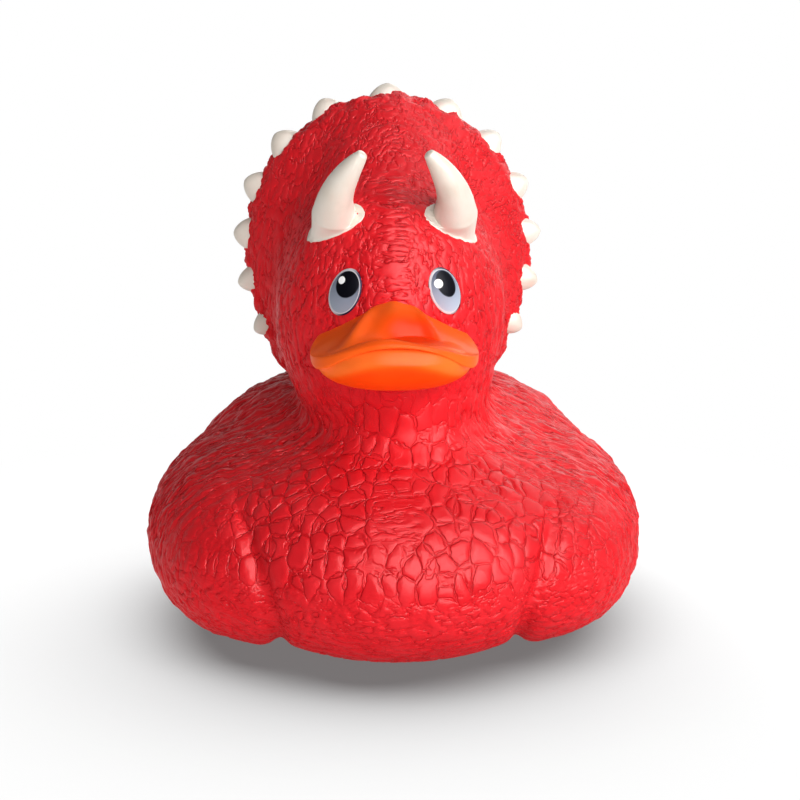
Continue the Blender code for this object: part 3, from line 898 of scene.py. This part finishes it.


# %% [markdown]
# ## Orange paint
#
# The bill was sprayed an even orange, which a slow mottle varies. Light and shade are also
# painted into its colour: painted shade makes it deeper in the scoop on the duck's left and on
# the lower lip's front face below its edge, and painted light makes it paler on the top of the
# lower lip, the lobes and the ridge. Each of these is a share that moves one colour ramp.

# %% Orange paint, with places from the bill's root
# The deep orange carries the painted shade and the pale orange the painted light, besides the mottle.
ORANGE_DEEP = (0.88, 0.042, 0.002)
ORANGE = (0.90, 0.088, 0.005)
ORANGE_PALE = (0.92, 0.16, 0.022)
ORANGE_MIDDLE = 0.46
ORANGE_MOTTLE = 0.3
ORANGE_ROUGHNESS = 0.28
ORANGE_ROUGHER = 0.1
ORANGE_SHINE = 0.02
MOUTH_ARCH = (LOWER_LIP - LOWER_CORNER[1]) * MM / (LOWER_HALF_WIDTH * MM) ** 2
SHADED_LIP_FRONT = (-2.2 * MM, -4.2 * MM)
LIT_LIP_TOP = (0.3 * MM, -0.5 * MM)
LIT_LIP_BOTTOM = (-3.6 * MM, -1.8 * MM)
LIT_LOBE_START = (5.0 * MM, 12.0 * MM)
SCOOP_SHADE_PLACE = (3.2 * MM, -9.0 * MM)
SCOOP_SHADE_SPREAD = (4.2 * MM, 3.6 * MM)
SCOOP_SHADE_FLOOR = (0.0, 2.0 * MM)
LIT_RIDGE_START = (4.5 * MM, 7.0 * MM)


def orange_paint():
    material, place, mottle, grain = finish("orange_paint")
    across, depth, up = place.vector("SUBTRACT", BILL_ROOT).split()
    below = up + across * across * MOUTH_ARCH - LOWER_LIP * MM
    scoop = ((across - SCOOP_SHADE_PLACE[0]) / SCOOP_SHADE_SPREAD[0]).bell()
    scoop = scoop * ((depth - SCOOP_SHADE_PLACE[1]) / SCOOP_SHADE_SPREAD[1]).bell() * up.rise(*SCOOP_SHADE_FLOOR)
    share = mottle * ORANGE_MOTTLE + ORANGE_MIDDLE
    # Painted light and shade: the lobes, the lower lip's top and the ridge are made paler, the lip's
    # front face and the scoop deeper.
    for part, weight in ((across.maths("ABSOLUTE").rise(*LIT_LOBE_START), 0.1),
                         (below.rise(*LIT_LIP_TOP) * below.rise(*LIT_LIP_BOTTOM), 0.25),
                         (below.rise(*SHADED_LIP_FRONT), -0.45),
                         (scoop, -1.1),
                         (up.rise(*LIT_RIDGE_START), 0.2)):
        share = share + part * weight
    colour = tint(share, (0.0, ORANGE_DEEP), (0.5, ORANGE), (1.0, ORANGE_PALE))
    feed(material, grain, Base_Color=colour, Specular_IOR_Level=ORANGE_SHINE,
         Roughness=mottle * ORANGE_ROUGHER + ORANGE_ROUGHNESS)
    return material


# %% Loft both lips
BILL_STATIONS = 96
BILL_POINTS = 144


def bill_half(name, section, corner, half_width, point_at, material):
    loop = smooth_loop(section, BILL_POINTS)
    rings = []
    for station in range(1, BILL_STATIONS):
        aside = -math.cos(math.pi * station / BILL_STATIONS)
        spots = (point_at(aside, *point) for point in loop)
        rings.append([BILL_ROOT + mm(aside * half_width, -forward, up) for forward, up in spots])
    ends = [BILL_ROOT + mm(side * half_width, -corner[0], corner[1]) for side in (-1, 1)]
    return loft(name, rings, ends, material)


paint = orange_paint()
wear(bill_half("upper_bill", UPPER_SECTION, UPPER_CORNER, UPPER_HALF_WIDTH, upper_bill_point, paint))
wear(bill_half("lower_bill", LOWER_SECTION, LOWER_CORNER, LOWER_HALF_WIDTH, lower_bill_point, paint))

# %% [markdown]
# ## Cream paint
#
# Horns and studs were brushed in one cream paint. It runs thin in places, so its colour
# follows the slow mottle from a deeper to a paler cream. It is a little rougher than the
# vinyl, with a stronger shine.

# %% Cream paint
CREAM_DEEP = (0.57, 0.47, 0.38)
CREAM = (0.65, 0.58, 0.50)
CREAM_PALE = (0.71, 0.66, 0.59)
CREAM_ROUGHNESS = 0.38
CREAM_ROUGHER = 0.1
CREAM_SHINE = 0.15


def cream_paint():
    material, place, mottle, grain = finish("cream_paint")
    colour = tint(mottle, (0.2, CREAM_DEEP), (0.45, CREAM), (0.8, CREAM_PALE))
    feed(material, grain, Base_Color=colour, Specular_IOR_Level=CREAM_SHINE,
         Roughness=mottle * CREAM_ROUGHER + CREAM_ROUGHNESS)
    return material


CREAM_PAINT = cream_paint()

# %% [markdown]
# ## Horns
#
# A horn stands on each brow, leaning inwards and bowed, with a blunt tip. It is a loft of round
# sections along a bowed path. At its foot the real horn runs smoothly into the head, and the
# cream paint ends in a clean oval line. So every spoke of the lowest section goes on along a
# curve of its own that bends out and lies down on the skin, wherever the skin is there.

# %% Sizes of a horn: places outwards, back and up from the middle of the face, in mm
HORN_SPINE = ((10.55, -9.7, 20.1, 3.85), (10.35, -11.5, 22.7, 3.2), (9.55, -13.0, 25.3, 2.7),
              (8.15, -14.3, 28.0, 2.15), (6.65, -15.3, 30.2, 1.5), (5.45, -15.9, 31.7, 0.85))
HORN_ROUNDING = 0.06
HORN_TIP = 0.02
HORN_STEP = 0.02
HORN_RINGS = 64
HORN_SIDES = 96
FOOT_MIDDLE = (10.5, -9.1, 17.9)
FOOT_ALONG = (0.82, 0.39, -0.37)
FOOT_HALF_LENGTH = 6.2
FOOT_FRONT = 2.8
FOOT_BACK = 4.2
FOOT_RINGS = 20
FOOT_EDGE = 0.10 * MM
FOOT_SPREAD = 0.55
FOOT_DEPTH = 0.8 * MM
FACE_MIDDLE = HEAD_CENTRE + FACE_ASIDE


# %% Round sections along the horn's path
def along(points, share):
    """A point on a smooth open curve through the given ones."""
    spot = min(share, 0.9999) * (len(points) - 1)
    first = int(spot)
    four = (Vector(points[min(max(first + shift, 0), len(points) - 1)]) for shift in (-1, 0, 1, 2))
    return between(*four, spot - first)


def on_side(side, place):
    """A direction or place on the duck's left, or its mirror image on the right."""
    return Vector((side * place[0], place[1], place[2]))


def on_face(side, place):
    return FACE_MIDDLE + on_side(side, place) * MM


def horn_heading(side, share):
    """Which way the horn points at that share of its length."""
    ahead = along(HORN_SPINE, share + HORN_STEP) - along(HORN_SPINE, max(share - HORN_STEP, 0.0))
    return on_side(side, ahead).normalized()


def horn_rings(side):
    """Round sections from above the foot to the tip."""
    rings = []
    for ring in range(HORN_RINGS):
        share = math.sin(math.pi / 2 * ring / (HORN_RINGS - 1))
        here = along(HORN_SPINE, share)
        past = max(share - 1.0 + HORN_ROUNDING, 0.0) / HORN_ROUNDING
        radius = here.w * max(math.sqrt(1.0 - past * past), HORN_TIP)
        turn = horn_heading(side, share).to_track_quat("Z", "Y")
        angles = (math.tau * spoke / HORN_SIDES for spoke in range(HORN_SIDES))
        spokes = (turn @ mm(math.cos(angle), math.sin(angle), 0.0) * radius for angle in angles)
        rings.append([on_face(side, here) + spoke for spoke in spokes])
    return rings


# %% The line where the paint ends on the skin
SKIN_SHAPE = BVHTree.FromObject(skin, bpy.context.evaluated_depsgraph_get())


def foot_edge(side, spot):
    """The foot's edge below a spot on the lowest section, and the ways off the skin and outwards."""
    middle = on_face(side, FOOT_MIDDLE)
    off = middle - HEAD_CENTRE
    normal = Vector(off[axis] / HEAD_RADII[axis] ** 2 for axis in range(3)).normalized()
    lengthways = on_side(side, FOOT_ALONG).normalized()
    forwards = normal.cross(lengthways) * -side
    out = spot - middle
    angle = math.atan2(out.dot(forwards), out.dot(lengthways))
    half_width = FOOT_FRONT if angle > 0.0 else FOOT_BACK
    edge = middle + lengthways * math.cos(angle) * FOOT_HALF_LENGTH * MM
    edge += forwards * math.sin(angle) * half_width * MM
    edge = SKIN_SHAPE.find_nearest(edge)[0]
    outwards = (edge - middle) - normal * (edge - middle).dot(normal)
    return edge, normal, outwards.normalized()


# %% Loft the horns with their feet
def foot_curve(side, spot, heading):
    """Points from under the skin, over the foot's edge and up to a spot on the lowest section."""
    edge, normal, outwards = foot_edge(side, spot)
    start = edge + normal * FOOT_EDGE
    span = (spot - start).length
    leave = -outwards * span * FOOT_SPREAD
    arrive = heading * span
    curve = [edge - normal * FOOT_DEPTH]
    for ring in range(FOOT_RINGS):
        t = ring / FOOT_RINGS
        bend = (start * (2 * t ** 3 - 3 * t * t + 1) + leave * (t ** 3 - 2 * t * t + t)
                + spot * (3 * t * t - 2 * t ** 3) + arrive * (t ** 3 - t * t))
        near, facing = SKIN_SHAPE.find_nearest(bend)[:2]
        buried = FOOT_EDGE - (bend - near).dot(facing)
        curve.append(bend + normal * max(buried, 0.0))
    return curve


def horn(side, name):
    rings = horn_rings(side)
    heading = horn_heading(side, 0.0)
    curves = [foot_curve(side, spot, heading) for spot in rings[0]]
    rings = [list(ring) for ring in zip(*curves)] + rings
    middles = [sum(ring, Vector()) / len(ring) for ring in (rings[0], rings[-1])]
    return loft(name, rings, middles, CREAM_PAINT)


for side, name in ((-1, "horn_right"), (1, "horn_left")):
    wear(horn(side, name))

# %% [markdown]
# ## Studs round the frill
#
# Thirteen blunt knobs follow the frill's rim, closer together towards its lower corners and
# wider at the top. They repeat along a rule, so Geometry Nodes make them: a row of points
# bent round the rim, and one knob placed on each, with a little chance in its size.

# %% Sizes of the studs
STUD_COUNT = 13
STUD_SPAN = 123.0
STUD_CROWDING = 0.9
STUD_RADIUS = 2.7 * MM
STUD_FLATNESS = 0.8
STUD_HEIGHT = 2.2 * MM
STUD_ROOT = 2.5 * MM
STUD_SETBACK = 2.4 * MM
STUD_BLUNTNESS = 2.0
STUD_FULLNESS = 0.6
STUD_WIDEST = 1.4
STUD_SMALLEST = (0.92, 0.95, 0.97)
STUD_LARGEST = (1.08, 1.05, 1.05)
STUD_SEGMENTS = 40
STUD_RINGS = 32
STUD_SEED = 7


# %% One knob, and its place on the rim
def knob(tree, radius, height):
    """A ball whose upper half is drawn out to a blunt dome."""
    ball = add(tree, "GeometryNodeMeshUVSphere", {"Segments": STUD_SEGMENTS, "Rings": STUD_RINGS})
    across, depth, up = source(tree, "GeometryNodeInputPosition").split()
    past = up.above(0.0)
    round_one = (-(past * past) + 1.0).above(1e-4).maths("SQRT")
    blunt = (-past.maths("POWER", STUD_BLUNTNESS) + 1.0).above(1e-4).maths("POWER", STUD_FULLNESS)
    width = blunt / round_one * radius
    tall = up.maths("GREATER_THAN", 0.0) * height + STUD_ROOT
    shape = vector_of(across * width, depth * width * STUD_FLATNESS, up * tall)
    return add(tree, "GeometryNodeSetPosition", {"Geometry": ball.outputs["Mesh"], "Position": shape})


def on_rim(angle):
    """The place on the frill's rim at that angle from the top."""
    drop = -angle.maths("COSINE") * FRILL_RADIUS - CORNER_DROP
    corner = (drop / CORNER_REACH).above(0.0).below(1.0)
    rim = corner * corner * CORNER_FLARE + (FRILL_RADIUS - STUD_ROOT)
    across, up = angle.maths("SINE") * rim, angle.maths("COSINE") * rim
    return vector_of(across, frill_depth(across, up) + (STUD_SETBACK - FRILL_DISH), up)


# %% The tree that makes the studs
def stud_tree(material):
    tree = bpy.data.node_groups.new("Frill studs", "GeometryNodeTree")
    sockets = opened(tree, Count="Int", Radius="Float", Height="Float", Seed="Int")
    given = given_to(tree)
    half = (given["Count"] - 1.0) / 2.0
    index = source(tree, "GeometryNodeInputIndex") - half
    share = (index.maths("ABSOLUTE") / half).maths("POWER", STUD_CROWDING)
    angle = share * index.maths("SIGN") * math.radians(STUD_SPAN)
    points = add(tree, "GeometryNodePoints", {"Count": given["Count"], "Position": on_rim(angle)})
    chance = add(tree, "FunctionNodeRandomValue",
                 {0: STUD_SMALLEST, 1: STUD_LARGEST, "Seed": given["Seed"]}, data_type="FLOAT_VECTOR")
    wide = share * (1.0 - STUD_WIDEST) + STUD_WIDEST
    scale = Field(tree, chance.outputs[0]).vector("MULTIPLY", vector_of(wide, 1.0, 1.0))
    turn = add(tree, "ShaderNodeCombineXYZ", {"Y": angle})
    ball = knob(tree, given["Radius"], given["Height"])
    placer = add(tree, "GeometryNodeInstanceOnPoints",
                 {"Points": points.outputs[0], "Instance": ball.outputs[0], "Rotation": turn.outputs[0],
                  "Scale": scale})
    leaner = add(tree, "GeometryNodeTransform",
                 {"Geometry": placer.outputs[0], "Translation": FRILL_CENTRE,
                  "Rotation": (math.radians(-FRILL_LEAN), 0.0, 0.0)})
    closed(tree, leaner.outputs[0], material)
    return tree, sockets


# %% Make the studs
tree, sockets = stud_tree(CREAM_PAINT)
sizes = {"Count": STUD_COUNT, "Radius": STUD_RADIUS, "Height": STUD_HEIGHT, "Seed": STUD_SEED}
studs = as_mesh(grown("studs", tree, {sockets[name]: value for name, value in sizes.items()}), "studs")
wear(studs)

# %% [markdown]
# ## Eyes
#
# Each eye is a low dome, printed with an iris that is paler towards its lower edge, a black
# pupil, a glint, and a pale rim that a dark line edges on one side. The dome is a loft of
# ellipses with its own map: 0 in the middle of the eye and 1 at its rim. The print is drawn
# on that map, so it follows the dome from any side.

# %% Sizes of an eye
EYE_PLACE = (26.4, 18.3, 0.55 * MM)
EYE_ASIDE = 1.0
EYE_HALF_WIDTH = 2.9 * MM
EYE_HALF_HEIGHT = 4.0 * MM
EYE_BULGE = 0.7 * MM
EYE_SKIRT = 1.06
EYE_SKIRT_DROP = 4.0
EYE_YAW = 32.0
EYE_PITCH = 15.0
EYE_TILT = 17.0
EYE_RINGS = 40
EYE_SIDES = 96

# %% Colours of an eye, and where its print lies
EYE_FINENESS = 1.5
EYE_ROUGHNESS = 0.3
EYE_ROUGHER = 0.05
EYE_SHINE = 0.015
IRIS = ((0.0, (0.46, 0.52, 0.63)), (0.5, (0.28, 0.32, 0.41)), (0.9, (0.06, 0.07, 0.11)))
PUPIL = (0.002, 0.002, 0.004)
GLINT = (0.95, 0.95, 0.95)
RIM = (0.62, 0.61, 0.64)
RIM_STARTS = (0.93, 0.95)
RIM_STRENGTH = 0.85
LINE = (0.03, 0.02, 0.05)
LINE_STARTS = (0.975, 0.99)
LINE_SIDE = (-0.3, 0.5)


def spot_at(across, up, centre, radii, soft=0.05, lean=0.0):
    """1 inside an ellipse on a plane and 0 outside it."""
    cosine, sine = math.cos(math.radians(lean)), math.sin(math.radians(lean))
    level = across - centre[0]
    rise = up - centre[1]
    wide = (level * cosine - rise * sine) / radii[0]
    tall = (level * sine + rise * cosine) / radii[1]
    return hypotenuse(wide, tall).rise(1.0 + soft, 1.0 - soft)


def blended(share, low, high):
    """One colour where the share is 0, the other where it is 1."""
    colours = {"Factor": share, 6: low, 7: (*high, 1.0)}
    return Field(share.tree, add(share.tree, "ShaderNodeMix", colours, data_type="RGBA").outputs[2])


# %% Eye paint
def eye_paint(name, iris_painted_shade, pupil, glint):
    material, place, mottle, grain = finish(name, EYE_FINENESS)
    tree = material.node_tree
    layer = add(tree, "ShaderNodeUVMap", uv_map="eye")
    across, up = Field(tree, layer.outputs[0]).split()[:2]
    away = hypotenuse(across, up)
    # Painted shade: the factor darkens the whole iris of the eye that lies on the shaded side.
    colour = tint(up * 0.5 + 0.5, *((where, [part * iris_painted_shade for part in stop]) for where, stop in IRIS))
    colour = blended(spot_at(across, up, *pupil), colour, PUPIL)
    colour = blended(spot_at(across, up, *glint), colour, GLINT)
    colour = blended(away.rise(*RIM_STARTS) * RIM_STRENGTH, colour, RIM)
    colour = blended(away.rise(*LINE_STARTS) * across.rise(*LINE_SIDE), colour, LINE)
    feed(material, grain, Base_Color=colour, Specular_IOR_Level=EYE_SHINE,
         Roughness=mottle * EYE_ROUGHER + EYE_ROUGHNESS)
    return material


# %% The dome
def on_brow(side, across, up, off):
    """A point off the head's egg, from two angles on the duck's left or right side."""
    across = math.radians(side * across)
    up = math.radians(up)
    spot = Vector((math.sin(across) * math.cos(up), -math.cos(across) * math.cos(up), math.sin(up)))
    spot *= HEAD_RADII
    return HEAD_CENTRE + spot + spot.normalized() * off


def eye(side, name, material):
    centre = on_brow(side, EYE_PLACE[0] + side * EYE_ASIDE, *EYE_PLACE[1:])
    turn = Matrix.Rotation(math.radians(side * EYE_YAW), 3, "Z")
    turn = turn @ Matrix.Rotation(math.radians(-EYE_PITCH), 3, "X")
    turn = turn @ Matrix.Rotation(math.radians(-side * EYE_TILT), 3, "Y")
    angles = [math.tau * spoke / EYE_SIDES for spoke in range(EYE_SIDES)]
    rings = []
    for ring in range(EYE_RINGS, 0, -1):
        away = EYE_SKIRT * ring / EYE_RINGS
        share = 1.0 - away * away if away < 1.0 else -EYE_SKIRT_DROP * (away - 1.0)
        depth = -share * EYE_BULGE
        spots = [(math.cos(angle) * away, math.sin(angle) * away) for angle in angles]
        rings.append([centre + turn @ Vector((x * EYE_HALF_WIDTH, depth, z * EYE_HALF_HEIGHT))
                      for x, z in spots])
    back = centre + turn @ Vector((0.0, EYE_BULGE, 0.0))
    front = centre + turn @ Vector((0.0, -EYE_BULGE, 0.0))
    piece = loft(name, rings, (back, front), material)
    layer = piece.data.uv_layers.new(name="eye")
    turn_back = turn.inverted()
    for loop in piece.data.loops:
        spot = turn_back @ (piece.data.vertices[loop.vertex_index].co - centre)
        layer.data[loop.index].uv = (spot.x / EYE_HALF_WIDTH, spot.z / EYE_HALF_HEIGHT)
    return piece


# %% Make the eyes: the iris's painted shade, a factor that darkens the eye on the duck's shaded right, and the pupil's and the glint's middle, radii, softness and lean
RIGHT_SHADE_AND_PRINT = (0.72, ((0.04, 0.36), (0.74, 0.60)), ((-0.40, 0.42), (0.24, 0.17)))
LEFT_PRINT = (1.0, ((0.13, 0.28), (0.64, 0.60), 0.05, 14.0), ((-0.35, 0.44), (0.28, 0.20)))
wear(eye(-1, "eye_right", eye_paint("eye_paint_right", *RIGHT_SHADE_AND_PRINT)))
wear(eye(1, "eye_left", eye_paint("eye_paint_left", *LEFT_PRINT)))

# %% [markdown]
# ## Floor, light and background
#
# The duck stands on a white sweep. The floor is a plain disc that throws light up on to the
# duck as such a sweep would. Where it is seen, it is a dark disc under a strong lamp of its
# own, which draws the shadow, with a little glow, which sets how dark the shadow gets.
# Further out it fades to plain white, as in the photograph.
#
# A soft key and a weaker fill light the duck from its left and front. Three more lamps give
# gloss alone, because a satin skin mirrors the whole studio, and no plain lamp is that large.

# %% Rays that see the background
def seen_by(tree):
    """1 for a ray from the camera, or one that a mirror or glass sends on, and 0 for other rays."""
    rays = tree.nodes.new("ShaderNodeLightPath")
    camera_ray, glossy, through = (Field(tree, rays.outputs[f"Is {kind} Ray"])
                                   for kind in ("Camera", "Glossy", "Transmission"))
    return camera_ray.above(glossy).above(through)


# %% The floor
FLOOR_RADIUS = 3.0
FLOOR_SIDES = 96
FLOOR_SEEN = 0.04
FLOOR_BOUNCE = 0.026
FLOOR_LIFT = 0.17
FLOOR_GLOW = 0.7
FLOOR_FADE = (0.06, 0.13)


def floor_material():
    material = bpy.data.materials.new("white_floor")
    material.use_nodes = True
    tree = material.node_tree
    tree.nodes.clear()
    across, depth, up = source(tree, "ShaderNodeTexCoord", "Object").split()
    away = hypotenuse(across, depth)
    seen = seen_by(tree)
    colour = seen * (FLOOR_SEEN - FLOOR_BOUNCE) + FLOOR_BOUNCE
    strength = seen * (FLOOR_LIFT - FLOOR_GLOW) + FLOOR_GLOW
    matt = add(tree, "ShaderNodeBsdfDiffuse", {"Color": colour})
    glow = add(tree, "ShaderNodeEmission", {"Strength": strength})
    near = add(tree, "ShaderNodeAddShader", {0: matt.outputs[0], 1: glow.outputs[0]})
    plain = add(tree, "ShaderNodeEmission", {"Strength": 1.0})
    mix = add(tree, "ShaderNodeMixShader",
              {0: away.rise(*FLOOR_FADE) * seen, 1: near.outputs[0], 2: plain.outputs[0]})
    add(tree, "ShaderNodeOutputMaterial", {0: mix.outputs[0]})
    return material


shape = bmesh.new()
bmesh.ops.create_circle(shape, cap_ends=True, segments=FLOOR_SIDES, radius=FLOOR_RADIUS)
mesh = bpy.data.meshes.new("floor")
shape.to_mesh(mesh)
shape.free()
mesh.materials.append(floor_material())
floor = added("floor", mesh)
print("floor of radius", FLOOR_RADIUS)

# %% Lamps: turn and height in degrees, size in metres, and watts
LAMP_AIM = mm(0.0, 0.0, 45.0)
LAMP_DISTANCE = 0.8


def softbox(name, turn, height, size, watts):
    lamp = added(name, bpy.data.lights.new(name, "AREA"))
    lamp.data.shape = "DISK"
    lamp.data.size = size
    lamp.data.energy = watts
    lamp.location = orbit(LAMP_AIM, turn, height, LAMP_DISTANCE)
    look_at(lamp, LAMP_AIM)
    print(name, "at", rounded(lamp.location))
    return lamp


lamps = [softbox("key", 50.0, 36.0, 0.3, 3.75), softbox("fill", 16.0, 20.0, 0.5, 3.4)]
overhead = softbox("overhead", 156.0, 63.0, 2.7, 630.0)
sheens = [softbox("sheen in front", 28.0, 36.0, 1.2, 130.0),
          softbox("sheen at the side", 75.0, 30.0, 0.9, 4.0),
          softbox("sheen behind", 150.0, 35.0, 0.9, 8.0)]
for lamp in sheens:
    lamp.visible_diffuse = False


# %% The floor takes its shadow from the overhead lamp alone
def lights(lamp, thing, state):
    receivers = bpy.data.collections.new(lamp.name + " receivers")
    receivers.objects.link(thing)
    receivers.collection_objects[0].light_linking.link_state = state
    lamp.light_linking.receiver_collection = receivers


lights(overhead, floor, "INCLUDE")
for lamp in lamps + sheens:
    lights(lamp, floor, "EXCLUDE")

# %% The world: white where it is seen, and a faint even light on everything else
WORLD_LIGHT = 0.12
world = bpy.data.worlds.new("studio")
bpy.context.scene.world = world
world.use_nodes = True
background = world.node_tree.nodes["Background"]
background.inputs["Color"].default_value = (1.0, 1.0, 1.0, 1.0)
strength = seen_by(world.node_tree) * (1.0 - WORLD_LIGHT) + WORLD_LIGHT
world.node_tree.links.new(strength.socket, background.inputs["Strength"])
bpy.context.scene.view_settings.view_transform = "Standard"
print("world's light on the duck:", WORLD_LIGHT)
